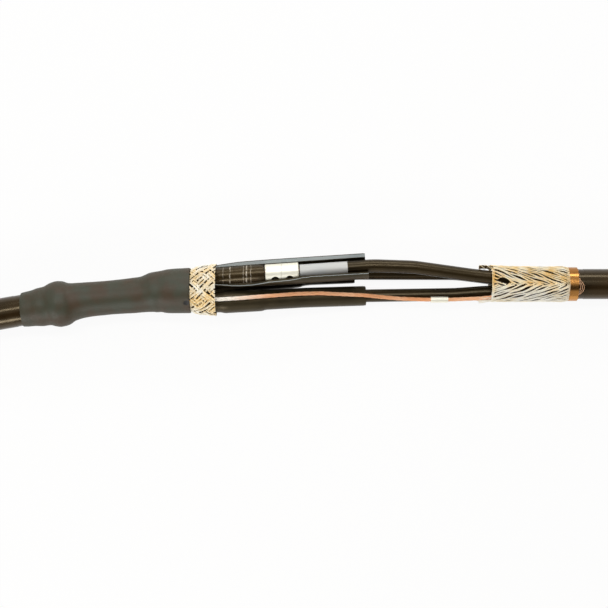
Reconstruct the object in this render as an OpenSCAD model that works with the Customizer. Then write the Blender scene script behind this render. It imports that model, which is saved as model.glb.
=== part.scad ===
// Heat shrink straight joint on a three-core medium voltage cable, made up as a cutaway sample.
// Millimetres, +Z up. The joint lies on the plane z = 0, with its length along X.

/* [Cable] */
// Wall of the left cable's sheath
left_sheath_t = 2.7; // [2.2:0.1:3.2]
// Wall of the right cable's sheath
right_sheath_t = 1.5; // [1.2:0.1:2]
// Diameter of one core over its black screen
core_d = 25.4; // [24.8:0.1:25.5]
// Thickness of the black core screen
screen_t = 0.6; // [0.4:0.1:1]
// Diameter of the stranded conductor
conductor_d = 12.6; // [11:0.2:13.4]
// Diameter of one copper screen wire
wire_d = 0.8; // [0.6:0.1:0.9]
// Number of copper screen wires round the cores
wire_count = 18; // [12:1:24]

/* [Connectors] */
// Outside diameter of a connector barrel
connector_d = 33.2; // [32:0.2:33.6]
// Length of a connector barrel
connector_l = 66; // [60:1:68]
// Diameter of a shear bolt
bolt_d = 16.4; // [14:0.2:17]
// Distance of each shear bolt from the middle of its barrel
bolt_offset = 14; // [12:0.5:18]
// Bare insulation left beside each end of a connector
end_gap = 2; // [1:0.5:4]

/* [Joint sleeves] */
// Wall of the stress control tubes on the two closed cores
stress_t = 2.3; // [1.8:0.1:2.5]
// Wall of the relaxed stress control tube in the opened sleeve
window_stress_t = 4.35; // [3.8:0.05:4.4]
// Wall of a closed joint sleeve
sleeve_t = 4.5; // [4:0.1:4.6]
// Wall of a closed joint sleeve where it passes over its connector
bulge_t = 2.8; // [2.4:0.1:3]
// Wall of the opened joint sleeve
window_sleeve_t = 8.2; // [7.4:0.1:8.4]

/* [Screen and earth] */
// Braid bands round the right mesh, in each direction
right_bands = 7; // [6:1:8]
// Braid bands round the left mesh, in each direction
left_bands = 8; // [7:1:9]
// Width of one braid band
band_w = 10; // [8:0.5:12]
// Thickness of one braid band
band_t = 1.2; // [1.1:0.1:1.4]
// Diameter of the twisted earth wires
earth_d = 8; // [7:0.2:8.2]
// Outside diameter of the crimp ferrule
ferrule_d = 11.6; // [11:0.2:12]
// Length of the crimp ferrule
ferrule_l = 34; // [30:1:38]
// Width of the roll springs
spring_w = 17; // [14:1:18]
// Turns of each roll spring
spring_turns = 3; // [2:1:3]
// Thickness of the roll spring strip
spring_t = 0.45; // [0.35:0.05:0.5]

/* [Outer jacket] */
// Radius of the jacket's bulge, which rests on the ground
bulge_r = 45.3; // [45:0.1:45.8]
// Wall of the outer jacket
jacket_t = 2.6; // [2.2:0.1:2.8]

/* [Hidden] */
$fn = 96;
fit = 0.15; // clearance between pieces that are shrunk or pushed together
seat = 0.3; // clearance between curved pieces that only lie against each other

// The two cables lie on straight lines; the cores run between them
axis_z = bulge_r;
right_axis = [18.4, 35.5]; // y and z of the right cable
left_end_x = -640;
right_end_x = 645.3;
left_sheath_end_x = -476;
right_sheath_end_x = 514;
trefoil_r = (core_d + 0.02) / sqrt(3); // the cores nearly touch
sheath_bore_d = 2 * (trefoil_r + core_d / 2 + wire_d + 0.12);
left_r = sheath_bore_d / 2 + left_sheath_t;
right_r = sheath_bore_d / 2 + right_sheath_t;
sanded = 0.4; // taken off the sheaths' outside under the joint
left_sanded_r = left_r - sanded;
right_sanded_r = right_r - sanded;
left_free_end_x = -568;
right_free_end_x = 552;
left_lay = 30;
right_lay = 60;
core_bend = 200;

// Middle line of the left bundle: x, y, spread of the cores from it
left_straight_end = [-455, -16];
left_slope = 31.9 / 185;
left_bundle = [
    [left_end_x, left_straight_end[1] + (left_end_x - left_straight_end[0]) * left_slope, trefoil_r],
    [left_straight_end[0], left_straight_end[1], trefoil_r], [-317, -2.5, trefoil_r + 1.9],
    [-272, 3.8, 20.9], [-228, 5.4, 22.1]
];
// Route of each core from the braid on the left to the braid on the right
core_routes = [
    [[-174, 32.6, 56.8], [-100, 38, 69.6], [135, 54, 67], [215, 51.5, 64], [330, 35.8, 53]],
    [[-174, 5, 23.6], [-90, 24, 23], [10, 36, 21.8], [100, 39.8, 20.4], [302, 39.2, 20.4],
        [372, 30.2, 21.6]],
    [[-180, -18.8, 58], [-60, -12, 44.2], [0, -8.5, 33.4], [124, -4.6, 20.4], [300, -1.8, 26],
        [355, 2.2, 31]]
];
bundle_end_x = 425;
connector_x = [-43, -47, -120];
sleeve_start_x = -279;
sleeve_end_x = [123, 100, 122];
stress_start_x = -200;
bolt_angle = 152; // shear bolts look forward and down, measured from +Y towards +Z

connector_r = connector_d / 2;
core_r = core_d / 2;
insulation_r = core_r - screen_t - fit;
conductor_r = conductor_d / 2;
stress_in = core_r + fit;
stress_out = stress_in + stress_t;
hump_in = connector_r + fit;
hump_out = hump_in + stress_t;
sleeve_in = stress_out + fit;
sleeve_out = sleeve_in + sleeve_t;
window_in = stress_in + window_stress_t + fit;

function unit(v) = v / norm(v);
function mix(a, b, t) = a + (b - a) * t;

// A frame at point p whose third axis is d: side lies level, up leans least from +Z
function side_of(d) = unit(cross([0, 0, 1], d));
function up_of(d) = cross(d, side_of(d));
function place(p, d) = let (s = side_of(d), u = up_of(d)) [
    [s[0], u[0], d[0], p[0]], [s[1], u[1], d[1], p[1]], [s[2], u[2], d[2], p[2]], [0, 0, 0, 1]
];
function spread(d, r, a) = r * cos(a) * side_of(d) + r * sin(a) * up_of(d);

left_dir = unit([left_bundle[1][0] - left_bundle[0][0], left_bundle[1][1] - left_bundle[0][1], 0]);
left_start = [left_end_x, left_bundle[0][1], axis_z];
function left_axis(x) = left_start + left_dir * (x - left_end_x) / left_dir[0];
function core_lay(k) = 120 * [0, -1, 1][k];

// Waypoints of core k, all the way
function core_path(k) = concat(
    [for (b = left_bundle)
        [b[0], b[1], axis_z] + spread(left_dir, b[2], left_lay + core_lay(k))],
    core_routes[k],
    [for (x = [bundle_end_x, right_end_x])
        [x, right_axis[0], right_axis[1]] + spread([1, 0, 0], trefoil_r, right_lay + core_lay(k))]
);

// The bend at waypoint i of path: directions before and after, angle, tangent length
function dir(path, i) = unit(path[i + 1] - path[i]);
function bend_angle(path, i) = acos(min(1, dir(path, i - 1) * dir(path, i)));
function tangent(path, i, bend) = bend * tan(bend_angle(path, i) / 2);
function bend_side(path, i) =
    let (a = dir(path, i - 1), b = dir(path, i), n = b - a) unit(n - a * (n * a));

// Segment of the path that holds x, and point and direction there, arcs included
function segment(path, x, i = 0) =
    i >= len(path) - 2 || x <= path[i + 1][0] ? i : segment(path, x, i + 1);
function on_line(path, x, i) =
    path[i] + (path[i + 1] - path[i]) * (x - path[i][0]) / (path[i + 1][0] - path[i][0]);
function arc_point(path, i, bend, t) =
    let (
        a = dir(path, i - 1),
        n = bend_side(path, i),
        start = path[i] - a * tangent(path, i, bend),
        w = bend_angle(path, i) * t
    )
    [start + n * bend * (1 - cos(w)) + a * bend * sin(w), a * cos(w) + n * sin(w)];
function bent(path, i) = i > 0 && i < len(path) - 1 && bend_angle(path, i) > 0.02;
function along(path, x, bend = core_bend) =
    let (
        i = segment(path, x),
        j = bent(path, i) && x < (path[i] + dir(path, i) * tangent(path, i, bend))[0] ? i
            : bent(path, i + 1) && x > (path[i + 1] - dir(path, i) * tangent(path, i + 1, bend))[0]
            ? i + 1 : -1
    )
    j < 0 ? [on_line(path, x, i), dir(path, i)]
    : let (
        x0 = (path[j] - dir(path, j - 1) * tangent(path, j, bend))[0],
        x1 = (path[j] + dir(path, j) * tangent(path, j, bend))[0]
    ) arc_point(path, j, bend, (x - x0) / (x1 - x0));
// Places along a path between x0 and x1, one in the middle of each bend
function turns(path, x0, x1) = [for (i = [1:1:len(path) - 2])
    let (x = bent(path, i) ? arc_point(path, i, core_bend, 0.5)[0][0] : path[i][0])
    if (x > x0 + 2 && x < x1 - 2) x];
function sorted(v) = len(v) < 2 ? v : let (m = v[floor(len(v) / 2)]) concat(
    sorted([for (x = v) if (x < m) x]), [m], sorted([for (x = v) if (x > m) x]));

// A closed sweep through stations [point, direction, outer radius, inner radius].
// The bore's flats clear its radius, unless what it holds has the same sides.
module sweep(stations, sides, same_sides = false) {
    widen = same_sides ? 1 : 1 / cos(180 / sides);
    m = len(stations);
    hollow = stations[0][3] > 0;
    function ring(s, r) = [for (j = [0:sides - 1]) s[0] + spread(s[1], r, 360 * j / sides)];
    function at(k, i, j) = (k * m + i) * sides + j % sides;
    points = concat(
        [for (s = stations) each ring(s, s[2])],
        [for (s = stations) if (hollow) each ring(s, s[3] * widen)]
    );
    walls = [for (i = [0:m - 2], j = [0:sides - 1])
        [at(0, i, j), at(0, i, j + 1), at(0, i + 1, j + 1), at(0, i + 1, j)]];
    bore = [for (i = [0:m - 2], j = [0:sides - 1])
        [at(1, i, j), at(1, i + 1, j), at(1, i + 1, j + 1), at(1, i, j + 1)]];
    rims = [for (j = [0:sides - 1]) each [
        [at(0, 0, j), at(1, 0, j), at(1, 0, j + 1), at(0, 0, j + 1)],
        [at(0, m - 1, j), at(0, m - 1, j + 1), at(1, m - 1, j + 1), at(1, m - 1, j)]
    ]];
    caps = [[for (j = [sides - 1:-1:0]) at(0, 0, j)], [for (j = [0:sides - 1]) at(0, m - 1, j)]];
    solid(points, concat(walls, hollow ? concat(bore, rims) : caps));
}

// A solid from faces listed counter-clockwise as seen from outside
module solid(points, faces) {
    polyhedron(points, [for (f = faces) [for (i = [len(f) - 1:-1:0]) f[i]]], convexity = 6);
}

// Stations along a path whose radii follow a profile of [x, outer radius, inner radius]
function near(x, profile) = len([for (q = profile) if (abs(q[0] - x) < 4) q]) > 0;
function radius_at(profile, x, n) = lookup(x, [for (q = profile) [q[0], q[n]]]);
function profiled(path, profile) =
    let (
        x0 = profile[0][0],
        x1 = profile[len(profile) - 1][0],
        xs = sorted(concat([for (q = profile) q[0]],
            [for (x = turns(path, x0, x1)) if (!near(x, profile)) x]))
    )
    [for (x = xs) concat(along(path, x), [radius_at(profile, x, 1), radius_at(profile, x, 2)])];

// Cable sheaths, fillers and screen wires
// Each sheath is left as made where it shows, and is sanded where the joint seals on it.
module sheath(start, d, length, free_l, outer_r) {
    multmatrix(place(start, d)) difference() {
        union() {
            cylinder(r = outer_r, h = free_l);
            cylinder(r = outer_r - sanded, h = length);
        }
        translate([0, 0, -1]) cylinder(d = sheath_bore_d, h = length + 2);
    }
}

module left_sheath() {
    color("#2a2018") sheath(left_start, left_dir, (left_sheath_end_x - left_end_x) / left_dir[0],
        (left_free_end_x - left_end_x) / left_dir[0], left_r);
}

module right_sheath() {
    color("#2c2618") sheath([right_end_x, right_axis[0], right_axis[1]], [-1, 0, 0],
        right_end_x - right_sheath_end_x, right_end_x - right_free_end_x, right_r);
}

filler_r = sheath_bore_d / 2 - wire_d - 2 * fit;
module filler(start, d, length, lay) {
    color("#3b3833") multmatrix(place(start, d)) linear_extrude(length) difference() {
        circle(r = filler_r);
        for (k = [0:2]) rotate(lay + core_lay(k)) translate([trefoil_r, 0]) circle(r = core_r + fit);
    }
}

module left_filler() filler(
    left_start, left_dir, (left_sheath_end_x - left_end_x) / left_dir[0] + 6, left_lay);

module right_filler() filler(
    [right_sheath_end_x - 6, right_axis[0], right_axis[1]], [1, 0, 0],
    right_end_x - right_sheath_end_x + 6, right_lay);

// Wires that leave the cut end of a sheath and turn back over its outside
wire_in_r = sheath_bore_d / 2 - wire_d / 2 - fit;
wire_back_l = 2 * spring_w;
module screen_wires(end, d, length, sheath_r) {
    turn_r = (sheath_r + fit + wire_d / 2 - wire_in_r) / 2;
    color("#c0805a") multmatrix(place(end, d)) for (k = [0:wire_count - 1])
        rotate(360 * (k + 0.5) / wire_count) translate([wire_in_r, 0, 0]) {
            translate([0, 0, -length]) cylinder(d = wire_d, h = length);
            translate([turn_r, 0, 0]) rotate([90, 0, 0])
                rotate_extrude(angle = 180, $fn = 48) translate([turn_r, 0]) circle(d = wire_d, $fn = 24);
            translate([2 * turn_r, 0, -wire_back_l]) cylinder(d = wire_d, h = wire_back_l);
        }
}

module left_screen_wires() screen_wires(
    left_axis(left_sheath_end_x + 1), left_dir,
    (left_sheath_end_x + 1 - left_end_x) / left_dir[0], left_sanded_r);

module right_screen_wires() screen_wires(
    [right_sheath_end_x - 1, right_axis[0], right_axis[1]], [-1, 0, 0],
    right_end_x - right_sheath_end_x + 1, right_sanded_r);

// Layers of one core on one side of its connector
left_sides = 8;
right_sides = 12;
module core_layer(k, side, ro, ri, stop, others = []) {
    path = core_path(k);
    x0 = side < 0 ? left_end_x : stop;
    x1 = side < 0 ? stop : right_end_x;
    xs = sorted(concat([x0, x1], others, turns(path, x0, x1)));
    sweep([for (x = xs) concat(along(path, x), [ro, ri])], side < 0 ? left_sides : right_sides, true);
}

function connector_edge(k, side) = connector_x[k] + side * connector_l / 2;
function insulation_stop(k, side) = connector_edge(k, side) + side * end_gap;
// The black screen is stripped back from the connector
screen_stops = [[-194, -194, -196], [85, 64, 50]];

function screen_stop(k, side) = screen_stops[(side + 1) / 2][k];

module conductor(k, side)
    color("#b87333") core_layer(k, side, conductor_r, 0, connector_x[k] + side * 2,
        [connector_edge(k, side), screen_stop(k, side)]);
module insulation(k, side)
    color("#aab0b4") core_layer(k, side, insulation_r, conductor_r + fit, insulation_stop(k, side),
        [screen_stop(k, side)]);
module core_screen(k, side)
    color("#15130f") core_layer(k, side, core_r, insulation_r + fit, screen_stop(k, side));

// Barrel connector with a bore for both conductors and two bolt sockets
module connector(k) {
    at = along(core_path(k), connector_x[k]);
    color("#ece6cf") multmatrix(place(at[0], at[1])) difference() {
        rotate_extrude() polygon([
            [conductor_r + fit, -connector_l / 2], [connector_r - 1.5, -connector_l / 2],
            [connector_r, -connector_l / 2 + 1.5], [connector_r, connector_l / 2 - 1.5],
            [connector_r - 1.5, connector_l / 2], [conductor_r + fit, connector_l / 2]
        ]);
        bolt_places() cylinder(d = bolt_d + 2 * fit, h = connector_r + 1);
    }
}

module bolt_places() {
    for (s = [-1, 1]) translate([0, 0, s * bolt_offset]) rotate([0, 90, bolt_angle]) children();
}

// Shear bolts press on the conductor; their heads broke off below the barrel's surface
bolt_sink = 3.4;
module shear_bolts(k) {
    at = along(core_path(k), connector_x[k]);
    color("#8d8468") multmatrix(place(at[0], at[1])) bolt_places() difference() {
        translate([0, 0, conductor_r + seat])
            cylinder(d = bolt_d, h = connector_r - bolt_sink - conductor_r - seat);
        translate([0, 0, connector_r - bolt_sink - 1.4]) cylinder(d = 7, h = 3, $fn = 6);
    }
}

// Stress control tubes: cut back to the connector on core 1, whole and humped on cores 2 and 3
hump_ramp = 10;
function humped(k, x0, x1, ro, ri, hump_ro, hump_ri) = let (
    half = connector_l / 2 + end_gap,
    x = connector_x[k]
) [
    [x0, ro, ri], [x - half - hump_ramp, ro, ri], [x - half, hump_ro, hump_ri],
    [x + half, hump_ro, hump_ri], [x + half + hump_ramp, ro, ri], [x1, ro, ri]
];

stress_cut_x = connector_edge(0, -1) - 1;
module stress_tube_1() {
    xs = concat([stress_start_x],
        [for (x = opened_x) if (x > stress_start_x + 2 && x < stress_cut_x - 2) x], [stress_cut_x]);
    color("#1c1a14") sweep([for (x = xs)
        concat(along(core_path(0), x), [stress_in + window_stress_t, stress_in])], 16);
}
module closed_stress_tube(k) color("#1c1a14") sweep(profiled(core_path(k), humped(
    k, stress_start_x, sleeve_end_x[k] - 4, stress_out, stress_in, hump_out, hump_in)), right_sides);

// Closed joint sleeves: the bore steps up where each passes on to its stress control tube
tail_in = core_r + fit;
tail_out = tail_in + 0.8 * sleeve_t;
tail_x = stress_start_x - 4;
tail_step = 10;
sleeve_sides = 16;
module closed_sleeve(k) {
    profile = concat(
        [[sleeve_start_x, tail_in + 1.6, tail_in], [sleeve_start_x + 6, tail_out, tail_in],
            [tail_x - tail_step, tail_out, tail_in]],
        humped(k, tail_x, sleeve_end_x[k], sleeve_out, sleeve_in,
            hump_out + fit + bulge_t, hump_out + fit)
    );
    color("#23221f") sweep(profiled(core_path(k), profile), sleeve_sides);
}

// Opened joint sleeve. One straight cut runs along its back and a wavy one along its front
window_start_x = -192;
opened_profile = [
    [sleeve_start_x, tail_in + 1.6, tail_in], [sleeve_start_x + 6, tail_out, tail_in],
    [tail_x - tail_step, tail_out, tail_in], [tail_x, sleeve_out, window_in],
    [window_start_x, window_in + window_sleeve_t * 0.44, window_in],
    [-172, window_in + window_sleeve_t * 0.58, window_in],
    [-120, window_in + window_sleeve_t, window_in],
    [sleeve_end_x[0], window_in + window_sleeve_t, window_in]
];
// Front edge of the window, degrees from +Y towards +Z, at places along x
front_cut = [[window_start_x, 124], [-172, 125], [-136, 152], [-105, 156], [-88, 144], [-72, 134],
    [-48, 133], [-20, 128], [-8, 121], [20, 117], [60, 118], [sleeve_end_x[0], 121]];
opened_sides = 22; // 6 span the window and the others the wall behind it
window_sides = 6;
bore_widen = 1 / cos(front_cut[0][1] / window_sides / 2);
end_slant = 2.4;
opened_x = sorted(concat(
    [for (q = opened_profile) q[0]],
    [for (q = front_cut) if (!near(q[0], opened_profile)) q[0]],
    [for (b = left_bundle) if (b[0] > sleeve_start_x + 6 && !near(b[0], opened_profile)) b[0]]
));
module joint_sleeve_1() {
    path = core_path(0);
    xs = opened_x;
    m = len(xs);
    first = [for (i = [0:m - 1]) if (xs[i] < window_start_x + 1) 1];
    w = len(first) - 1;
    function angle(x, j) = let (f = lookup(x, front_cut))
        j < window_sides ? f * j / window_sides
        : f + (360 - f) * (j - window_sides) / (opened_sides - window_sides);
    function ring(x, n) = let (s = along(path, x)) [for (j = [0:opened_sides - 1])
        s[0] + spread(s[1], radius_at(opened_profile, x, n) * (n == 2 ? bore_widen : 1), angle(x, j))
            - (x == xs[m - 1] ? s[1] * end_slant * cos(angle(x, j)) : [0, 0, 0])];
    function at(k, i, j) = (k * m + i) * opened_sides + j % opened_sides;
    function sector(i, j, flip) = flip
        ? [at(0, i, j), at(0, i, j + 1), at(1, i, j + 1), at(1, i, j)]
        : [at(0, i, j), at(1, i, j), at(1, i, j + 1), at(0, i, j + 1)];
    points = concat([for (x = xs) each ring(x, 1)], [for (x = xs) each ring(x, 2)]);
    walls = [for (i = [0:m - 2], j = [0:opened_sides - 1]) if (i < w || j >= window_sides) each [
        [at(0, i, j), at(0, i, j + 1), at(0, i + 1, j + 1), at(0, i + 1, j)],
        [at(1, i, j), at(1, i + 1, j), at(1, i + 1, j + 1), at(1, i, j + 1)]
    ]];
    ends = concat(
        [for (j = [0:opened_sides - 1]) sector(0, j, false)],
        [for (j = [0:window_sides - 1]) sector(w, j, true)],
        [for (j = [window_sides:opened_sides - 1]) sector(m - 1, j, true)]
    );
    cuts = [for (i = [w:m - 2]) each [
        [at(0, i, 0), at(1, i, 0), at(1, i + 1, 0), at(0, i + 1, 0)],
        [at(0, i, window_sides), at(0, i + 1, window_sides), at(1, i + 1, window_sides),
            at(1, i, window_sides)]
    ]];
    color("#2b2c2a") solid(points, concat(walls, ends, cuts));
}

// Braided screen mesh: flat bands wound both ways round a waisted tube, over and under in turn
weave = 0.25 * band_t;
module band(centre, radii, x0, x1, phase, hand, step, w_rate) {
    count = ceil((x1 - x0) / step);
    function quad(i) = let (
        x = min(x0 + i * step, x1),
        a = phase + hand * w_rate * (x - x0),
        r = lookup(x, radii) - band_t - weave + hand * weave * cos(180 * (x - x0) / step) + band_t / 2,
        c = [x, lookup(x, centre[0]), lookup(x, centre[1])],
        out = [0, cos(a), sin(a)],
        along_band = unit([1, 0, 0] + hand * w_rate * PI / 180 * r * [0, -sin(a), cos(a)]),
        across = unit(cross(out, along_band)) * band_w / 2
    ) [for (s = [[-1, -1], [1, -1], [1, 1], [-1, 1]]) c + out * (r + s[1] * band_t / 2) + s[0] * across];
    for (i = [0:count - 1]) hull() polyhedron(
        concat(quad(i), quad(i + 1)),
        [[0, 1, 2, 3], [7, 6, 5, 4], [0, 4, 5, 1], [1, 5, 6, 2], [2, 6, 7, 3], [3, 7, 4, 0]]);
}

module braid(centre, radii, x0, x1, bands, step) {
    w_rate = 180 / bands / step;
    for (k = [0:bands - 1]) {
        band(centre, radii, x0, x1, 360 * k / bands, 1, step, w_rate);
        band(centre, radii, x0, x1, 360 * k / bands, -1, step, w_rate);
    }
}

// The right mesh is braided up to the spring, and pressed flat on the wires under it
right_mesh_x = [368, 517.6];
right_step = 20;
right_spring_x = 521;
right_mesh_centre = [
    [[right_mesh_x[0], right_axis[0] + 1.3], [bundle_end_x, right_axis[0]]],
    [[right_mesh_x[0], right_axis[1] + 0.6], [bundle_end_x, right_axis[1]]]
];
pressed_in = right_sanded_r + 2 * fit + wire_d;
pressed_out = pressed_in + band_t;
braid_on_press = 1.3; // the braid's outside over the pressed part that it runs on to
right_mesh_r = [[right_mesh_x[0], right_r + 5.8], [385, right_r + 5.2], [bundle_end_x, right_r + 4.6],
    [480, right_r + 4.2], [500, right_r + 4.6], [508, right_r + 5.2],
    [right_mesh_x[1], pressed_out + braid_on_press]];
module right_mesh() {
    color("#cbbd92") {
        braid(right_mesh_centre, right_mesh_r, right_mesh_x[0], right_mesh_x[1], right_bands, right_step);
        sweep([for (x = [right_mesh_x[1] - 3, right_spring_x + spring_w])
            [[x, right_axis[0], right_axis[1]], [1, 0, 0], pressed_out, pressed_in]], 24);
    }
}

// Radii and middle line of the jacket, left to right: x, y, outer radius
jacket_line = [
    [-554, -33, left_r + 2.9], [-548, -32, left_r + 3.4], [-533, -29.4, left_r + 4.6],
    [-520, -27.3, left_r + 7.2], [-505, -24.6, left_r + 8.2], [-496, -23, bulge_r - 2.6],
    [-485, -21.3, bulge_r], [-476, -20.2, bulge_r - 0.4], [-467, -18.8, bulge_r - 2.2],
    [-457, -17, 38.2], [-441, -14.2, 35.6], [-425, -12.2, 34.6], [-402, -10, 34],
    [-372, -7.4, 33.8], [-343, -4.9, 34.8], [-317, -2.2, 35.6], [-305, 0, 37.6],
    [-297, 1.6, 39.6], [-283, 3.4, 40.6], [-270, 3.9, 43], [-254, 4.7, 44.1], [-223.5, 5.6, 44.9]
];
function jacket_dir(i) = let (
    a = jacket_line[max(i - 1, 0)], b = jacket_line[min(i + 1, len(jacket_line) - 1)]
) unit([b[0] - a[0], b[1] - a[1], 0]);
module outer_jacket() {
    color("#4d4a3e") sweep([for (i = [0:len(jacket_line) - 1]) let (s = jacket_line[i])
        [[s[0], s[1], axis_z], jacket_dir(i), s[2], s[2] - jacket_t]], 24);
}

// Under the spring the mesh lies on the turned back wires, past it against the jacket
mesh_on_wires_r = left_sanded_r + 2 * fit + wire_d + 0.1;
left_spring_x = -499;
past_spring_x = left_spring_x + spring_w + 3;
function under_r(s) = s[0] < past_spring_x ? mesh_on_wires_r + band_t
    : s[0] < past_spring_x + spring_w ? mesh_on_wires_r + band_t + 0.4 : s[2] - jacket_t - seat;

// The left mesh lies flat under the jacket and opens into its braid beside it
mesh_edge_x = -172;
left_braid_x = -223;
left_step = (mesh_edge_x - left_braid_x) / 3;
left_mesh_centre = [[[left_braid_x, 5.6], [mesh_edge_x, 7]],
    [[left_braid_x, axis_z], [left_braid_x + left_step, 47.9], [mesh_edge_x, 51.8]]];
left_mesh_r = [[left_braid_x, 41], [left_braid_x + left_step, 47.2], [mesh_edge_x, 51.3]];
module left_mesh() {
    color("#cbbd92") {
        sweep(concat(
            [for (i = [0:len(jacket_line) - 1])
                let (s = jacket_line[i]) if (s[0] > left_spring_x - 4 && s[0] < left_braid_x)
                [[s[0], s[1], axis_z], jacket_dir(i), under_r(s), under_r(s) - band_t]],
            [[[left_braid_x + 5, 5.6, axis_z], [1, 0, 0], left_mesh_r[0][1], left_mesh_r[0][1] - band_t]]
        ), 16);
        braid(left_mesh_centre, left_mesh_r, left_braid_x, mesh_edge_x, left_bands, left_step);
    }
}

// Roll springs: a flat strip wound in half turns whose centres change sides
spring_pitch = spring_t + 0.1;
module roll_spring(inner_r, turns) {
    for (k = [0:2 * turns - 1]) translate([0, k % 2 == 0 ? 0 : spring_pitch / 2, 0])
        rotate(k % 2 == 0 ? -90 : 90) rotate_extrude(angle = 180)
            translate([inner_r + k * spring_pitch / 2, 0]) square([spring_t, spring_w]);
}
module left_roll_spring() {
    at = left_axis(left_spring_x);
    color("#b98245") multmatrix(place(at, left_dir)) roll_spring(mesh_on_wires_r + band_t + seat, spring_turns);
}
module right_roll_spring() {
    color("#b98245") multmatrix(place([right_spring_x, right_axis[0], right_axis[1]], [1, 0, 0]))
        roll_spring(pressed_out + fit, spring_turns);
}

// Sealing mastic wound on the sheath fills the jacket's left end, up to its spring
mastic_ends = [-552, -512];
mastic_gap = 1.2;
mastic_min_t = 0.6;
module sealing_mastic() {
    color("#1b1a18") sweep([for (i = [0:len(jacket_line) - 1]) let (s = jacket_line[i])
        if (s[0] > mastic_ends[0] && s[0] < mastic_ends[1])
        [left_axis(s[0]), left_dir,
            max(s[2] - jacket_t - mastic_gap, left_sanded_r + mastic_min_t),
            left_sanded_r + fit]], 20);
}

// Earth wires: the cable's own screen wires twisted together, laid over core 3
left_earth_route = [[-462, -17.4, 65.5], [-317, -2.6, 66.2], [-272, 3.6, 68.4], [-228, 2.5, 74],
    [-174, -12.6, 84.2], [-125, -9.6, 80.4], [-76, -5.6, 73.4], [-14, -1, 61], [31, 0.2, 54],
    [80, -2, 49], [118, -3.6, 45.2], [150, -7, 39.2], [190, -10.4, 37.8], [238, -12.4, 42.2],
    [266, -12.4, 42.2]];
right_earth_route = [[267, -12.4, 42.2], [288, -12.4, 42.2], [347, -10, 44.2], [370, -7.8, 46],
    [395, 2.4, 50.9], [425, 9, 51.2], [506, 9, 51.5]];
strand_lobes = 4;
lay_length = 60;
twist_step = 14;
earth_bend = 60;
module twisted_wire(route, step) {
    r = earth_d / 2;
    x0 = route[0][0];
    x1 = route[len(route) - 1][0];
    count = round((x1 - x0) / step);
    sides = 2 * strand_lobes;
    function centre(x) = along(route, x, earth_bend);
    function ring(x) = let (c = centre(x)) [for (j = [0:sides - 1])
        c[0] + spread(c[1], j % 2 == 0 ? r : 0.76 * r, 360 * (j / sides + (x - x0) / lay_length))];
    xs = [for (i = [0:count]) x0 + (x1 - x0) * i / count];
    solid(
        [for (x = xs) each ring(x)],
        concat(
            [for (i = [0:count - 1], j = [0:sides - 1])
                [i * sides + j, i * sides + (j + 1) % sides, (i + 1) * sides + (j + 1) % sides]],
            [for (i = [0:count - 1], j = [0:sides - 1])
                [i * sides + j, (i + 1) * sides + (j + 1) % sides, (i + 1) * sides + j]],
            [[for (j = [sides - 1:-1:0]) j]],
            [[for (j = [0:sides - 1]) count * sides + j]]
        )
    );
}
module left_earth_wire() color("#b8683c") twisted_wire(left_earth_route, twist_step);
module right_earth_wire() color("#b8683c") twisted_wire(right_earth_route, twist_step);

function last(v) = v[len(v) - 1];
module crimp_ferrule() {
    dent_gap = 9;
    color("#cfc6a6") multmatrix(place(last(left_earth_route) - [16, 0, 0], [1, 0, 0])) difference() {
        cylinder(d = ferrule_d, h = ferrule_l);
        translate([0, 0, -1]) cylinder(d = earth_d + 2 * seat, h = ferrule_l + 2);
        for (k = [-1:1]) translate([0, 0, ferrule_l / 2 + k * dent_gap]) rotate([0, 0, 200])
            translate([ferrule_d / 2 + 1.6, 0, 0]) rotate([90, 0, 0]) cylinder(r = 2.4, h = 20, center = true);
    }
}

left_sheath();
right_sheath();
left_filler();
right_filler();
left_screen_wires();
right_screen_wires();
for (k = [0:2]) {
    name = str("core_", k + 1);
    conductor(k, -1);
    conductor(k, 1);
    insulation(k, -1);
    insulation(k, 1);
    core_screen(k, -1);
    core_screen(k, 1);
    connector(k);
    shear_bolts(k);
}
stress_tube_1();
closed_stress_tube(1);  // stress_tube_2
closed_stress_tube(2);  // stress_tube_3
joint_sleeve_1();
closed_sleeve(1);  // joint_sleeve_2
closed_sleeve(2);  // joint_sleeve_3
left_mesh();
right_mesh();
left_roll_spring();
right_roll_spring();
left_earth_wire();
right_earth_wire();
crimp_ferrule();
sealing_mastic();
outer_jacket();
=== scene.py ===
# %% [markdown]
# # A heat shrink cable joint, cut open to show its layers
# A three-core power cable is joined inside a jacket of heat shrink tube. The sample lies on a
# pale table and is seen from straight above. The solids come from the CAD model; this file
# gives them their finishes, and makes again in finer mesh what the CAD shows with few faces.
# Lengths are written in millimetres, as in the CAD model, and turned to metres where a mesh
# or a shader needs them.

# %% Load the frame
import itertools
import math
import bpy
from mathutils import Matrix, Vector, noise


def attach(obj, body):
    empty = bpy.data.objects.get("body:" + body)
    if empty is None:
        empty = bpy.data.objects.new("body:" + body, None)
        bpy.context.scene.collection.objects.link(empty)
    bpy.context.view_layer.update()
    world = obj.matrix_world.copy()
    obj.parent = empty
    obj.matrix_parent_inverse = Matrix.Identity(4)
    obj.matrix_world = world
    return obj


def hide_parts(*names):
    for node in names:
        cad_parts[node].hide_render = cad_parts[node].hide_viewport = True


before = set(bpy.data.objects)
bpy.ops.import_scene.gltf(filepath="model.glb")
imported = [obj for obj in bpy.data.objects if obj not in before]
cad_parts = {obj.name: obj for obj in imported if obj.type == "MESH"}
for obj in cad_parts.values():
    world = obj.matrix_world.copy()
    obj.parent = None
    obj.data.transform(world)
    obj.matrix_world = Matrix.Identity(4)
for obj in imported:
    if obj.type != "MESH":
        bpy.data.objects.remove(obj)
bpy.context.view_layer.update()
MM = 0.001
print("nodes in the frame:", len(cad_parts))

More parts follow.
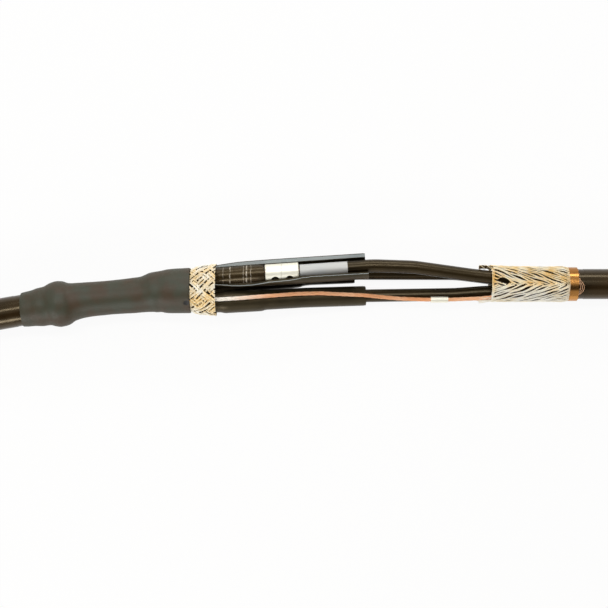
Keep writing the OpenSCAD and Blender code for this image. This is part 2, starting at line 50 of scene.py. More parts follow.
# %% [markdown]
# ## Camera, table and light
# The camera hangs three metres above the table with the top of the picture along +Y. At that
# distance 88.8 mm of lens on a 36 mm sensor takes in 1.22 m of the table, which is what the
# photograph shows of it.

# %% Hang the camera
LENS, SENSOR = 88.8, 36
CAMERA_PLACE = (0, -0.021, 3.0)
camera_data = bpy.data.cameras.new("camera")
camera_data.lens = LENS
camera_data.sensor_width = SENSOR
camera = bpy.data.objects.new("camera", camera_data)
camera.location = CAMERA_PLACE
bpy.context.scene.collection.objects.link(camera)
bpy.context.scene.camera = camera
bpy.context.scene.view_settings.view_transform = "Standard"
print("the camera sees", round(CAMERA_PLACE[2] * SENSOR / LENS, 2), "m of the table")

# %% [markdown]
# Every colour is written as the sRGB hex value that the eye sees, and one function turns it
# to the linear numbers that Blender works with. One small function adds a shader node with
# its settings, values and links. A Mix node has sockets for every type of value, so those for
# colours are found by their numbers.

# %% Colours and nodes
MIX_A, MIX_B, MIX_RESULT = 6, 7, 2


def linear(hex_colour):
    """Linear RGBA of an sRGB hex colour."""
    parts = [int(hex_colour[i:i + 2], 16) / 255 for i in (1, 3, 5)]
    return [c / 12.92 if c <= 0.04045 else ((c + 0.055) / 1.055) ** 2.4 for c in parts] + [1.0]


def add(tree, kind, values=None, **settings):
    """Add a node. Settings are its own options, values go to its sockets or are linked."""
    made = tree.nodes.new(kind)
    for name, value in settings.items():
        setattr(made, name, value)
    for name, value in (values or {}).items():
        if isinstance(value, bpy.types.NodeSocket):
            tree.links.new(value, made.inputs[name])
        else:
            made.inputs[name].default_value = value
    return made


print("grey of the cut sleeve in linear:", [round(c, 3) for c in linear("#98a1a2")])

# %% [markdown]
# The table is white laminate. Most of what the camera sees of it is its own plain white, and
# a share of it is lit, so that the joint's soft shadow stays. Reflections see the same white.
# It lies 0.6 mm low, because the lowest wires of the left braid reach a little under the
# part's lowest solid.

# %% Lay the table
TABLE_HALF, TABLE_DROP = 6.0, 0.0006
PLAIN_SHARE = 0.93


def white_laminate():
    """The finish of the table: plain white where a ray sees it, lit white for the rest."""
    made = bpy.data.materials.new("white_laminate")
    made.use_nodes = True
    tree = made.node_tree
    tree.nodes.clear()
    rays = add(tree, "ShaderNodeLightPath")
    seen = add(tree, "ShaderNodeMath", {0: rays.outputs["Is Camera Ray"],
                                        1: rays.outputs["Is Glossy Ray"]}, operation="MAXIMUM")
    seen = add(tree, "ShaderNodeMath", {0: seen.outputs[0],
                                        1: rays.outputs["Is Transmission Ray"]},
               operation="MAXIMUM")
    share = add(tree, "ShaderNodeMath", {0: seen.outputs[0], 1: PLAIN_SHARE},
                operation="MULTIPLY")
    lit = add(tree, "ShaderNodeBsdfDiffuse", {"Color": linear("#f4f2ee")})
    own = add(tree, "ShaderNodeEmission", {"Color": linear("#ffffff"), "Strength": 1.0})
    both = add(tree, "ShaderNodeMixShader", {0: share.outputs[0], 1: lit.outputs[0],
                                             2: own.outputs[0]})
    add(tree, "ShaderNodeOutputMaterial", {"Surface": both.outputs[0]})
    return made


table_mesh = bpy.data.meshes.new("table")
table_mesh.from_pydata([(x * TABLE_HALF, y * TABLE_HALF, 0)
                        for x, y in ((-1, -1), (1, -1), (1, 1), (-1, 1))], [], [(0, 1, 2, 3)])
table_mesh.materials.append(white_laminate())
table = bpy.data.objects.new("table", table_mesh)
table.location = (0, 0, -TABLE_DROP)
bpy.context.scene.collection.objects.link(table)
print("table", 2 * TABLE_HALF, "m wide")

# %% [markdown]
# The light is that of a small studio. A long soft box hangs above the joint and another
# stands behind it, and they give each tube its highlights. A third at the front left lights
# the lower side of the glossy tubes.

# %% Set the lights
def soft_box(name, place, aim, size, power):
    """A rectangular lamp that looks from its place at its aim; size in metres."""
    data = bpy.data.lights.new(name, "AREA")
    data.shape = "RECTANGLE"
    data.size, data.size_y = size
    data.energy = power
    made = bpy.data.objects.new(name, data)
    made.location = place
    made.rotation_euler = (Vector(aim) - Vector(place)).to_track_quat("-Z", "Y").to_euler()
    bpy.context.scene.collection.objects.link(made)


# Above and a little behind: the broad soft highlight on the back of every tube.
soft_box("key_light", (-0.4, 0.85, 2.6), (-0.4, 0, 0), (2.4, 0.35), 26)
# Low behind: a second, thin line along their upper edges.
soft_box("back_light", (0.1, 2.4, 1.25), (0.1, 0, 0), (2.6, 0.5), 24)
# Low at the front left: a glow on the lower side of the sheath, the jacket and the sleeves.
soft_box("front_light", (-1.3, -2.3, 1.25), (-0.9, 0, 0), (2.2, 0.6), 34)

# %% [markdown]
# A white room does the rest. Above the front of the table its ceiling is open, and that dark
# strip draws the dark line along each glossy tube and spring. The strip is found by how far
# a direction leans from straight up to the front or back.

# %% Build the white room
STRIP_LEAN = math.radians(25)
STRIP_DARK, STRIP_GONE = math.radians(13), math.radians(26)
STRIP_LEVEL, ROOM_LEVEL = 0.03, 0.6
room = bpy.data.worlds.new("white_room")
room.use_nodes = True
tree = room.node_tree
where = add(tree, "ShaderNodeTexCoord")
axes = add(tree, "ShaderNodeSeparateXYZ", {"Vector": where.outputs["Generated"]})
lean = add(tree, "ShaderNodeMath", {0: axes.outputs["Y"], 1: axes.outputs["Z"]},
           operation="ARCTAN2")
off = add(tree, "ShaderNodeMath", {0: lean.outputs[0], 1: STRIP_LEAN}, operation="ADD")
off = add(tree, "ShaderNodeMath", {0: off.outputs[0]}, operation="ABSOLUTE")
level = add(tree, "ShaderNodeMapRange", {"Value": off.outputs[0], "From Min": STRIP_DARK,
                                         "From Max": STRIP_GONE, "To Min": STRIP_LEVEL,
                                         "To Max": ROOM_LEVEL})
tree.nodes["Background"].inputs["Color"].default_value = linear("#f6f4f0")
tree.links.new(level.outputs[0], tree.nodes["Background"].inputs["Strength"])
bpy.context.scene.world = room
print("room level", ROOM_LEVEL, "and in its dark strip", STRIP_LEVEL)

# %% [markdown]
# ## Finishes
# Each finish starts from what the real material is and how its surface was made. One function
# builds them all. Two shades change slowly over patches of a given width, as colour does on a
# used tube. A grain of a given size swings the roughness and lifts the surface a little, and
# may be drawn out along the joint, as extruded plastic and drawn metal are. A pixel of the
# picture covers 2 mm, so each grain is drawn coarser than the real one, which the comments
# name, or it wouldn't show.

# %% A finish with its grain
# A noise seldom leaves these spans, so each is stretched over the whole swing.
PATCH_LOW, PATCH_HIGH = 0.35, 0.65
GRAIN_LOW, GRAIN_HIGH = 0.3, 0.7
ROUGH_SWING = 0.06


def finish(name, colours, roughness, grain_mm, bump_mm, stretch=1.0, metallic=0.0, ior=None,
           gloss="#ffffff", patch_mm=70):
    """A material whose colour swings between two shades over a grain of a real size."""
    made = bpy.data.materials.new(name)
    made.use_nodes = True
    tree = made.node_tree
    shader = tree.nodes["Principled BSDF"]
    shader.inputs["Metallic"].default_value = metallic
    shader.inputs["Specular Tint"].default_value = linear(gloss)
    if ior:
        shader.inputs["IOR"].default_value = ior
    where = add(tree, "ShaderNodeTexCoord")
    size = 1 / (grain_mm * MM)
    drawn = add(tree, "ShaderNodeMapping", {"Vector": where.outputs["Object"],
                                            "Scale": (size / stretch, size, size)})
    grain = add(tree, "ShaderNodeTexNoise", {"Vector": drawn.outputs[0], "Scale": 1.0,
                                             "Detail": 3.0})
    wide = add(tree, "ShaderNodeTexNoise", {"Vector": where.outputs["Object"],
                                            "Scale": 1 / (patch_mm * MM), "Detail": 2.0})
    shade = add(tree, "ShaderNodeMapRange", {"Value": wide.outputs["Fac"],
                                             "From Min": PATCH_LOW, "From Max": PATCH_HIGH})
    colour = add(tree, "ShaderNodeMix", {"Factor": shade.outputs[0], MIX_A: linear(colours[0]),
                                         MIX_B: linear(colours[1])}, data_type="RGBA")
    tree.links.new(colour.outputs[MIX_RESULT], shader.inputs["Base Color"])
    dull = add(tree, "ShaderNodeMapRange", {"Value": grain.outputs["Fac"],
                                            "From Min": GRAIN_LOW, "From Max": GRAIN_HIGH,
                                            "To Min": roughness - ROUGH_SWING,
                                            "To Max": roughness + ROUGH_SWING})
    tree.links.new(dull.outputs[0], shader.inputs["Roughness"])
    relief = add(tree, "ShaderNodeBump", {"Height": grain.outputs["Fac"],
                                          "Distance": bump_mm * MM, "Strength": 1.0})
    tree.links.new(relief.outputs[0], shader.inputs["Normal"])
    return made


WARM = "#ffe8be"
print("gloss of carbon black plastics:", WARM)

# %% [markdown]
# The cable's own plastics are extruded, so their marks run along the cable. Carbon black
# plastics throw back a slightly warm light, which their gloss colour gives. Plastics refract
# at about 1.5.

# %% Plastics of the cable
# Polyethylene sheath, extruded: dark with a clear gloss that long streaks break up. Its die
# lines are 0.3 mm wide and are drawn 3 mm wide.
extruded_polyethylene = finish("extruded_polyethylene", ("#1e1509", "#312312"), 0.22, 3, 0.03,
                               stretch=12, ior=1.51, gloss=WARM)
# Semiconductive polyethylene, extruded through a smoother die: an even gloss with long soft
# highlights. Its lines are 0.2 mm wide and are drawn 3 mm wide.
semiconductive_polyethylene = finish("semiconductive_polyethylene", ("#191207", "#291f0e"), 0.3,
                                     3, 0.015, stretch=10, ior=1.5, gloss=WARM)
# Cross-linked polyethylene, peeled with a knife: a waxy grey white with faint marks of the
# blade, 0.5 mm wide and drawn 2 mm wide.
peeled_polyethylene = finish("peeled_cross_linked_polyethylene", ("#cfcfcb", "#c4c9cb"), 0.4, 2,
                             0.05, stretch=4, ior=1.51)
# Filler of extruded reclaimed rubber: dull and nearly black, with crumbs of 0.5 mm drawn as
# 2 mm.
extruded_filler = finish("extruded_rubber_filler", ("#2b2926", "#35322d"), 0.7, 2, 0.1,
                         stretch=6)
print("plastics of the cable:", extruded_polyethylene.name, semiconductive_polyethylene.name,
      peeled_polyethylene.name, extruded_filler.name)

# %% [markdown]
# The joint's own tubes were shrunk on with a torch. Its heat leaves a thick tube matte and
# mottled, while a thin one that is drawn tight over its core keeps a shine.

# %% Heat shrink tubes and mastic
# Polyolefin jacket, shrunk by torch: matte, mottled brown and grey green over some 34 mm, with
# a grain like fine leather, 0.4 mm wide and drawn 1.6 mm wide.
shrunk_polyolefin = finish("heat_shrunk_polyolefin", ("#40311d", "#393b2b"), 0.54, 1.6, 0.16,
                           stretch=1.5, ior=1.5, patch_mm=34)
# Elastomer sleeve, shrunk by torch: black with a satin shine. Its marks are 0.5 mm wide and
# are drawn 2.2 mm wide.
shrunk_elastomer = finish("heat_shrunk_elastomer", ("#201c13", "#302a1c"), 0.4, 2.2, 0.05,
                          stretch=3, ior=1.5, gloss=WARM)
# The same sleeve's insulating layer, cut with a knife: pale grey and matte, with drag marks of
# 0.3 mm drawn as 1.2 mm.
knife_cut_elastomer = finish("knife_cut_elastomer", ("#98a1a2", "#a9afad"), 0.55, 1.2, 0.06,
                             ior=1.5)
# Stress control tube, shrunk tight: dark brown and glossy. Its die lines are 0.3 mm wide and
# are drawn 2.4 mm wide.
shrunk_stress_tube = finish("heat_shrunk_stress_control_tube", ("#251b0d", "#30240f"), 0.3, 2.4,
                            0.04, stretch=2, ior=1.5, gloss=WARM)
# Sealing mastic, pressed by the jacket: black and dull, in soft lumps that are 3 mm wide.
pressed_mastic = finish("pressed_sealing_mastic", ("#141311", "#1e1c19"), 0.6, 3, 0.2)
print("tubes and mastic:", shrunk_polyolefin.name, shrunk_elastomer.name,
      knife_cut_elastomer.name, shrunk_stress_tube.name, pressed_mastic.name)

# %% [markdown]
# Metals keep the default index of refraction and take their colour from the base colour. A
# solid piece of metal has a metallic value of 1. Fine wires lie far closer together than a
# pixel and throw light about among themselves, so from this distance they look nearly matte:
# they get a lower value. Marks of drawing are 0.02 mm wide, so what is drawn here is only the
# unevenness from wire to wire, 1.5 to 2 mm wide.

# %% Wires
# Copper wire, drawn and dipped in tin: a warm silver with golden places where the tin is thin.
tinned_copper = finish("tinned_drawn_copper", ("#fffcf2", "#fbe6b8"), 0.42, 1.5, 0.01,
                       metallic=0.35, patch_mm=24)
# The same wire, rubbed until the copper shines through: gold.
worn_tinned_copper = finish("worn_tinned_copper", ("#fff4d2", "#f3c977"), 0.42, 1.5, 0.01,
                            metallic=0.35, patch_mm=24)
# Painted shade for the same wire deep in the braid and in the tuft: dark brown, standing for
# the shade between the strands.
painted_shade_wire = finish("braid_wire_in_painted_shade", ("#5c431d", "#2c1d09"), 0.55, 1.5, 0.01,
                          metallic=0.9)
# Copper wire, drawn and left bare: a pale salmon.
bare_copper = finish("bare_drawn_copper", ("#fec99e", "#f6ae79"), 0.4, 2, 0.01, stretch=6,
                     metallic=0.12)
# Drawn copper in painted shade: a brown. Every conductor gets it, for the shadow in the gap
# between core 1's connector and insulation, and so does the earth strand under the braid.
painted_shade_copper = finish("drawn_copper_in_painted_shade", ("#6b3d22", "#51301b"), 0.5, 2, 0.02,
                         stretch=4, metallic=1.0)
print("wires:", tinned_copper.name, worn_tinned_copper.name, painted_shade_wire.name,
      bare_copper.name, painted_shade_copper.name)

# %% [markdown]
# The solid metal pieces are the two roll springs, the connectors and ferrule with their coat
# of tin, and the bolts. Such a coat is made of fine crystals that scatter the light, and it
# looks nearly white, so it has a lower metallic value too.

# %% Solid metal pieces
# Bronze strip, cold rolled: smooth, with clear bright and dark bands. Its rolling marks are
# 0.05 mm wide and are drawn as slow waves, 4 mm wide.
rolled_bronze = finish("cold_rolled_bronze", ("#c78e4e", "#9a6430"), 0.24, 4, 0.01, metallic=1.0)
# Copper barrel, turned and plated with tin: pale and satin. Its turning marks are 0.2 mm wide
# and are drawn 2.5 mm wide.
plated_barrel = finish("tin_plated_barrel", ("#fffcec", "#fcf5de"), 0.45, 2.5, 0.02, stretch=2,
                       metallic=0.45)
# Brass bolt, sheared off: a torn grey brown face, with pits of 0.5 mm drawn as 1.5 mm.
sheared_brass = finish("sheared_brass_bolt", ("#6b6046", "#4b4230"), 0.45, 1.5, 0.1,
                       metallic=1.0)
print("solid metals:", rolled_bronze.name, plated_barrel.name, sheared_brass.name)

# %% [markdown]
# Some finishes have another colour laid over them in places. One function lays it on, by an
# amount that other nodes work out. Here it makes the right braid pale at the front and golden
# at the back, and the left earth wire near white at its left end and copper further on.

# %% Lay one colour over a finish
def lay_over(material, amount, colour):
    """Cover a finish with a colour where amount is 1, and leave it bare where it is 0."""
    tree = material.node_tree
    base = tree.nodes["Principled BSDF"].inputs["Base Color"]
    both = add(tree, "ShaderNodeMix", {"Factor": amount, MIX_A: base.links[0].from_socket,
                                       MIX_B: linear(colour)}, data_type="RGBA")
    tree.links.new(both.outputs[MIX_RESULT], base)


def fading(material, name, colour, covered, bare, axis):
    """A copy of a finish that a colour covers up to one place on an axis, and that is bare
    from another place on."""
    made = material.copy()
    made.name = name
    tree = made.node_tree
    where = add(tree, "ShaderNodeTexCoord")
    axes = add(tree, "ShaderNodeSeparateXYZ", {"Vector": where.outputs["Object"]})
    amount = add(tree, "ShaderNodeMapRange", {"Value": axes.outputs[axis],
                                              "From Min": bare * MM, "From Max": covered * MM})
    lay_over(made, amount.outputs[0], colour)
    return made


front_paler_tinned_copper = fading(worn_tinned_copper, "tinned_copper_paler_at_front", "#fffbee", -2, 22, "Y")
copper_near_white_at_left = fading(bare_copper, "copper_near_white_at_left", "#fff8ec", -150, -60, "X")
print("fading finishes:", front_paler_tinned_copper.name, copper_near_white_at_left.name)

# %% [markdown]
# The solids that keep their CAD shape only need a finish in place of the plain one. Those that
# are drawn again further on get theirs too, so that no node is left plain.

# %% Dress the CAD solids
SIDE_FINISHES = {"sheath": extruded_polyethylene, "filler": extruded_filler,
                 "screen_wires": bare_copper, "roll_spring": rolled_bronze,
                 "earth_wire": bare_copper, "mesh": tinned_copper}
# Every conductor gets the copper in painted shade.
CORE_FINISHES = {"conductor": painted_shade_copper, "insulation": peeled_polyethylene,
                 "screen": semiconductive_polyethylene}
NUMBERED_FINISHES = {"connector": plated_barrel, "shear_bolts": sheared_brass,
                     "stress_tube": shrunk_stress_tube, "joint_sleeve": shrunk_elastomer}
OTHER_FINISHES = {"crimp_ferrule": plated_barrel, "sealing_mastic": pressed_mastic,
                  "outer_jacket": shrunk_polyolefin}
finishes = dict(OTHER_FINISHES)
for side in ("left", "right"):
    finishes.update({side + "_" + part: found for part, found in SIDE_FINISHES.items()})
for k in (1, 2, 3):
    finishes.update({"%s_%d" % (part, k): found for part, found in NUMBERED_FINISHES.items()})
    for side in ("left", "right"):
        finishes.update({"core_%d_%s_%s" % (k, side, part): found
                         for part, found in CORE_FINISHES.items()})
for node, material in finishes.items():
    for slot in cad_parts[node].material_slots:
        slot.material = material
print("dressed", len(finishes), "of", len(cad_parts), "nodes")

# %% [markdown]
# ## Routes and shells
# Each core runs along a route of straight stretches with round bends, the same one that the
# CAD model uses. A curve object could hold it too; here it is a list of places, each with its
# direction, because most pieces need both to set out their own rings of points.

# %% Follow a route
X_AXIS = Vector((1, 0, 0))
# A corner that turns by less than this many radians is left straight.
STRAIGHT = 1e-4


def rounded(points, bend, pace=6.0):
    """Places and directions along a route whose corners are arcs of radius bend."""
    points = [Vector(p) for p in points]
    out, start = [], points[0]
    for i in range(1, len(points)):
        d = (points[i] - points[i - 1]).normalized()
        e = (points[i + 1] - points[i]).normalized() if i < len(points) - 1 else d
        turn = d.angle(e, 0.0)
        stop = points[i] - d * bend * math.tan(turn / 2)
        steps = max(1, int((stop - start).length / pace))
        out += [(start.lerp(stop, k / steps), d) for k in range(steps)]
        start = stop
        if turn > STRAIGHT:
            inward = (e - d * e.dot(d)).normalized()
            steps = max(2, int(bend * turn / pace) + 1)
            for k in range(steps):
                a = turn * k / steps
                out.append((stop + inward * bend * (1 - math.cos(a)) + d * bend * math.sin(a),
                            d * math.cos(a) + inward * math.sin(a)))
            start = points[i] + e * bend * math.tan(turn / 2)
    return out + [(points[-1], d)]


def at_x(route, x):
    """Place and direction where a route passes x."""
    for (p, d), (q, e) in zip(route, route[1:]):
        if q.x >= x:
            t = (x - p.x) / (q.x - p.x)
            return p.lerp(q, t), d.lerp(e, t).normalized()
    return route[-1]


def along(route, x0, x1, pace=7.0):
    """Places and directions on a route from x0 to x1, about a pace apart."""
    steps = max(1, round((x1 - x0) / pace))
    return [at_x(route, x0 + (x1 - x0) * k / steps) for k in range(steps + 1)]


corner = rounded([(0, 0, 0), (50, 0, 0), (50, 50, 0)], 20)
print("a corner of radius 20 mm takes", len(corner), "places")

# %% [markdown]
# Round a route, a point is found by its radius and angle. Radii that change along a piece come
# from a short table of sections, with a smooth curve through its rows, so that the tube has no
# corners where the rows are. An eased step leads one radius into another.

# %% Find radii and points round a route
def around(d, radius, degrees):
    """The step from a route's middle to a point round it; 0 is +Y and 90 leans to +Z."""
    side = Vector((0, 0, 1)).cross(d).normalized()
    a = math.radians(degrees)
    return (side * math.cos(a) + d.cross(side) * math.sin(a)) * radius


def smooth_table(table):
    """A smooth curve through the rows of a table whose first column is x."""
    def values(x):
        x = min(max(x, table[0][0]), table[-1][0])
        i = max(k for k in range(len(table) - 1) if table[k][0] <= x)
        a, b = table[i], table[i + 1]
        before, after = table[max(i - 1, 0)], table[min(i + 2, len(table) - 1)]
        width = b[0] - a[0]
        t = (x - a[0]) / width
        found = []
        for c in range(1, len(a)):
            rise_in = (b[c] - before[c]) / (b[0] - before[0]) * width
            rise_out = (after[c] - a[c]) / (after[0] - a[0]) * width
            found.append(a[c] * (1 + 2 * t) * (1 - t) ** 2 + b[c] * t * t * (3 - 2 * t)
                         + rise_in * t * (1 - t) ** 2 - rise_out * t * t * (1 - t))
        return found
    return values


def eased(t):
    """A step from 0 to 1 that starts and ends softly."""
    t = min(max(t, 0.0), 1.0)
    return t * t * (3 - 2 * t)


print("a point above the route:", around(X_AXIS, 1, 90))

# %% [markdown]
# A piece is a mesh of rings of points. Its faces join each ring to the next, smooth but for
# the edges that are really sharp, and each face knows which of the piece's materials it has.

# %% Make a mesh piece from rings
def make_piece(name, points, faces, kinds, materials, sharp=38):
    """A piece in metres from points in millimetres; kinds are its faces' material numbers."""
    mesh = bpy.data.meshes.new(name)
    mesh.from_pydata([p * MM for p in points], [], faces)
    for material in materials:
        mesh.materials.append(material)
    for face, kind in zip(mesh.polygons, kinds):
        face.material_index = kind
    mesh.shade_smooth()
    mesh.set_sharp_from_angle(angle=math.radians(sharp))
    piece = bpy.data.objects.new(name, mesh)
    bpy.context.scene.collection.objects.link(piece)
    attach(piece, "root")
    return piece


def join_rings(rings, closed, which=None):
    """Points, faces and kinds of rings of equal length. A closed row of rings joins its last
    ring to its first, and an open one gets a cap at both ends; which(i, j) gives a kind."""
    n, m = len(rings[0]), len(rings)
    faces, kinds = [], []
    for i in range(m if closed else m - 1):
        for j in range(n):
            k, i2 = (j + 1) % n, (i + 1) % m
            faces.append((i * n + j, i * n + k, i2 * n + k, i2 * n + j))
            kinds.append(which(i, j) if which else 0)
    if not closed:
        faces += [tuple(range(n - 1, -1, -1)), tuple((m - 1) * n + j for j in range(n))]
        kinds += [0, 0]
    return [p for ring in rings for p in ring], faces, kinds


print("faces of a square bar:", len(join_rings([[0] * 4, [0] * 4], False)[1]))

# %% [markdown]
# A shell is a tube whose outer and inner walls follow their own radii. Its rings go out along
# the outer wall and come back along the inner one, and the last joins the first.

# %% Build a shell
def shell(name, stations, sides, materials, which=None, shift=None):
    """A tube from stations (place, direction, outer radius, inner radius). The outer radius
    may be a function of the angle, and shift(x, angle) moves a point along the tube."""
    angles = [360 * j / sides for j in range(sides)]
    outside, inside = [], []
    for place, d, outer, inner in stations:
        moved = [d * shift(place.x, a) if shift else Vector() for a in angles]
        outside.append([place + around(d, outer(a) if callable(outer) else outer, a) + step
                        for a, step in zip(angles, moved)])
        inside.append([place + around(d, inner, a) + step for a, step in zip(angles, moved)])
    points, faces, kinds = join_rings(outside + inside[::-1], True, which)
    return make_piece(name, points, faces, kinds, materials)


print("a shell of 48 sides has", 2 * 48, "faces from one station to the next")

# %% [markdown]
# ## The cores
# The left bundle fans out under the jacket; past it each core goes its own way to the right
# cable, where the three lie together again. Inside a cable they touch each other in a
# trefoil, whose radius follows from the distance of 25.42 mm between two middles.

# %% Lay the cores
AXIS_Z = 45.3
TREFOIL = 25.42 / math.sqrt(3)
THIRDS = (0, -120, 120)
LEFT_TURN, RIGHT_TURN = 30, 60
CORE_BEND = 200
LEFT_BUNDLE = [(-640, -47.9, TREFOIL), (-455, -16, TREFOIL), (-317, -2.5, TREFOIL + 1.9),
               (-272, 3.8, 20.9), (-228, 5.4, 22.1)]
CORE_ROUTES = [
    [(-174, 32.6, 56.8), (-100, 38, 69.6), (135, 54, 67), (215, 51.5, 64), (330, 35.8, 53)],
    [(-174, 5, 23.6), (-90, 24, 23), (10, 36, 21.8), (100, 39.8, 20.4), (302, 39.2, 20.4),
     (372, 30.2, 21.6)],
    [(-180, -18.8, 58), (-60, -12, 44.2), (0, -8.5, 33.4), (124, -4.6, 20.4), (300, -1.8, 26),
     (355, 2.2, 31)]]
LEFT_DIR = Vector((185, 31.9, 0)).normalized()
BUNDLED_X, RIGHT_END = 425, 645.3
RIGHT_MIDDLE = Vector((0, 18.4, 35.5))


def core_route(k):
    """The whole route of one core, from the left cable's end to the right one's."""
    left = [Vector((x, y, AXIS_Z)) + around(LEFT_DIR, spread, LEFT_TURN + THIRDS[k])
            for x, y, spread in LEFT_BUNDLE]
    right = [RIGHT_MIDDLE + X_AXIS * x + around(X_AXIS, TREFOIL, RIGHT_TURN + THIRDS[k])
             for x in (BUNDLED_X, RIGHT_END)]
    return rounded(left + CORE_ROUTES[k] + right, CORE_BEND)


cores = [core_route(k) for k in range(3)]
print("core lengths in mm:", [round(sum((b[0] - a[0]).length for a, b in zip(c, c[1:])))
                              for c in cores])

# %% [markdown]
# Between the sleeves and the right mesh the black core screens lie bare. The CAD shows them
# with straight facets, so they are drawn again as round tubes that bend smoothly. On core 1 the
# screen stops short, and the peeled insulation shows up to the connector.

# %% Draw the bare core screens
SCREEN_OUT, SCREEN_IN = 12.7, 12.1
INSULATION_OUT, INSULATION_IN, INSULATION_START = 11.95, 6.45, -8
SCREEN_STARTS = (85, 64, 50)
CORE_SIDES = 36
for k, x0 in enumerate(SCREEN_STARTS):
    tube = shell("core_screen_%d" % (k + 1),
                 [(p, d, SCREEN_OUT, SCREEN_IN) for p, d in along(cores[k], x0, RIGHT_END)],
                 CORE_SIDES, [semiconductive_polyethylene])
    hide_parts("core_%d_right_screen" % (k + 1))
peeled = shell("core_insulation_1",
               [(p, d, INSULATION_OUT, INSULATION_IN)
                for p, d in along(cores[0], INSULATION_START, RIGHT_END)],
               CORE_SIDES, [peeled_polyethylene])
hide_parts("core_1_right_insulation")
print("bare core screens start at", SCREEN_STARTS, "mm")

# %% [markdown]
# ## The sleeves
# A joint sleeve is co-extruded: a black conductive skin outside and a grey insulating wall.
# Shrunk over the connector it keeps a soft hump. The closed sleeves are plain shells with
# that hump, narrow on the left core and wide from there on, with their end faces in grey.

# %% Shrink the closed sleeves
CONNECTOR_X = (-43, -47, -120)
SLEEVE_START, SLEEVE_END = -279, (123, 100, 122)
TAIL_OUT, SLEEVE_OUT, HUMP_OUT = 16.45, 19.8, 22.0
# The bore's radius on the tail, what it gains past it, and what it gains more at the hump.
TAIL_IN, WIDER_IN, HUMP_IN = 12.85, 2.45, 3.9
HUMP_HALF, HUMP_EASE, WIDE_FROM = 46, 12, -216
END_ROUND, END_EASE, SKIN_INSET = 0.7, 4, 0.15


def closed_station(p, d, k):
    """One station of a closed sleeve: its radii at a place on core k."""
    hump = eased((HUMP_HALF - abs(p.x - CONNECTOR_X[k])) / HUMP_EASE)
    wide = eased((p.x - WIDE_FROM) / HUMP_EASE)
    outer = TAIL_OUT + (SLEEVE_OUT - TAIL_OUT) * wide + (HUMP_OUT - SLEEVE_OUT) * hump
    inner = TAIL_IN + WIDER_IN * wide + HUMP_IN * hump
    end = END_ROUND * (1 - eased((SLEEVE_END[k] - p.x) / END_EASE))
    return p, d, outer - end - SKIN_INSET, inner


for k in (1, 2):
    stations = [closed_station(p, d, k)
                for p, d in along(cores[k], SLEEVE_START, SLEEVE_END[k], 5)]
    tube = shell("closed_sleeve_%d" % (k + 1), stations, 48,
                 [shrunk_elastomer, knife_cut_elastomer],
                 which=lambda i, j, end=len(stations) - 1: 1 if i == end else 0)
    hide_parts("joint_sleeve_%d" % (k + 1))
print("closed sleeves end at", SLEEVE_END[1:], "mm")

# %% [markdown]
# The opened sleeve is this joint's show piece. A straight cut runs along its back and a wavy
# one along its front, where the knife followed the connector. One loop of points goes round
# the wall that is left: outer skin, back cut, bore, front cut. A cut taken out of a shell with
# a boolean would give the same form, but a loop keeps the faces even and says which are cut.

# %% Set out the opened sleeve's wall
WINDOW_START, WINDOW_END = -192, 123
FRONT_CUT = [(WINDOW_START, 138), (-172, 142), (-136, 158), (-105, 163), (-88, 155), (-72, 146),
             (-48, 143), (-20, 138), (-8, 131), (20, 127), (60, 128), (WINDOW_END, 131)]
BACK_CUT = 360
front_cut = smooth_table(FRONT_CUT)
opened_wall = smooth_table([(WINDOW_START, 3.6), (-172, 4.75), (-120, 8.05),
                            (WINDOW_END, 8.05)])
WINDOW_IN = 17.5
OUTER_SKIN, INNER_SKIN = 1.2, 0.8
FRONT_BAND = (2.6, 1.1)
ARC = 40
# The knife wavers by 2 degrees over some 9 mm, and thins the wall by 14% at the front lip.
WAVER, WAVER_MM = 2.0, 9
LIP_THIN, LIP_SPAN = 0.14, 70
# The right end is cut 2.4 mm aslant and is rounded by 0.6 mm.
SLANT, SLANT_X, SLANT_LONG = -2.4, 100, 23
ROUND, ROUND_X, ROUND_LONG = 0.6, 119, 4


def opened_loop(p, d):
    """The loop of points round the sleeve's wall at one place, counter-clockwise."""
    cut = front_cut(p.x)[0] + WAVER * noise.noise(Vector((p.x / WAVER_MM, 0, 0)))
    wall = opened_wall(p.x)[0]
    slant = SLANT * eased((p.x - SLANT_X) / SLANT_LONG)
    end = ROUND * eased((p.x - ROUND_X) / ROUND_LONG)

    def at(radius, a):
        return p + around(d, radius, a) + d * slant * math.cos(math.radians(a))

    def skin(a):
        lip = 1 - LIP_THIN + LIP_THIN * eased((a - cut) / LIP_SPAN)
        return WINDOW_IN + wall * lip - end

    span = BACK_CUT - cut
    loop = [at(skin(a), a) for a in (cut + span * j / ARC for j in range(ARC + 1))]
    loop += [at(WINDOW_IN + wall - OUTER_SKIN, BACK_CUT), at(WINDOW_IN + INNER_SKIN, BACK_CUT),
             at(WINDOW_IN, BACK_CUT)]
    loop += [at(WINDOW_IN, a) for a in (BACK_CUT - span * j / ARC for j in range(1, ARC + 1))]
    return loop + [at(skin(cut) - depth, cut) for depth in FRONT_BAND]


loops = [opened_loop(p, d) for p, d in along(cores[0], WINDOW_START, WINDOW_END, 4)]
print("window from", WINDOW_START, "to", WINDOW_END, "mm, wall", round(opened_wall(0)[0], 2),
      "mm, loops:", len(loops))

# %% [markdown]
# The loops are joined along the core. The faces of the two cuts get the grey of the insulating
# wall, with the black skins as a dark line on each side. The right end is open to the eye, so
# its flat cap is taken off and grey faces are laid from the skin to the bore in its place.

